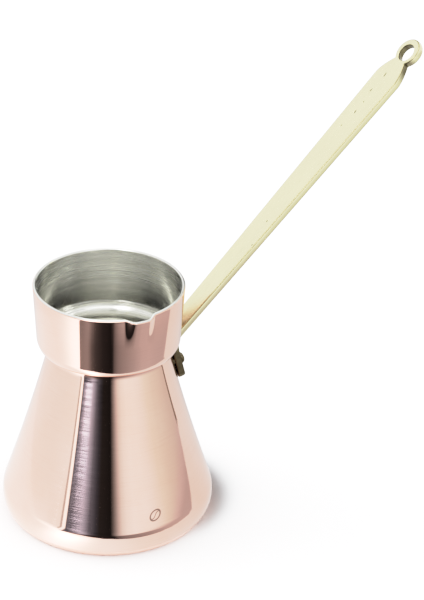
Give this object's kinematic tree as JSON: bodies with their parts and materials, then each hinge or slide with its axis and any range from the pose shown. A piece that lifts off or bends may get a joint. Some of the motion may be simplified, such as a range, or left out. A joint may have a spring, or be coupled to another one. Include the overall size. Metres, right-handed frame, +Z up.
{
  "type": "turkish coffee pot",
  "caption": "Spun copper Turkish coffee pot with a tin-lined inside, a pouring lip and a long riveted cast brass handle ending in a hanging eye.",
  "frame": {"origin": "centre of the flat base, on the surface that the pot stands on", "axes": "+Z up the pot's axis, +X towards the handle, -Y towards the pouring lip"},
  "size_m": [0.1973, 0.095, 0.2036],
  "materials": {
    "polished_copper": "mirror polished, with very fine turning lines round the pot",
    "wiped_tin": "wiped tin, finely brushed round the pot",
    "cast_brass": "pale cast brass, polished on the face and satin on the edges",
    "rivet_brass": "darkened rivet heads"
  },
  "bodies": {
    "root": {"copper_body": "polished_copper", "tin_lining": "wiped_tin", "handle": "cast_brass", "rivet_front": "rivet_brass", "rivet_back": "rivet_brass"}
  },
  "joints": []
}
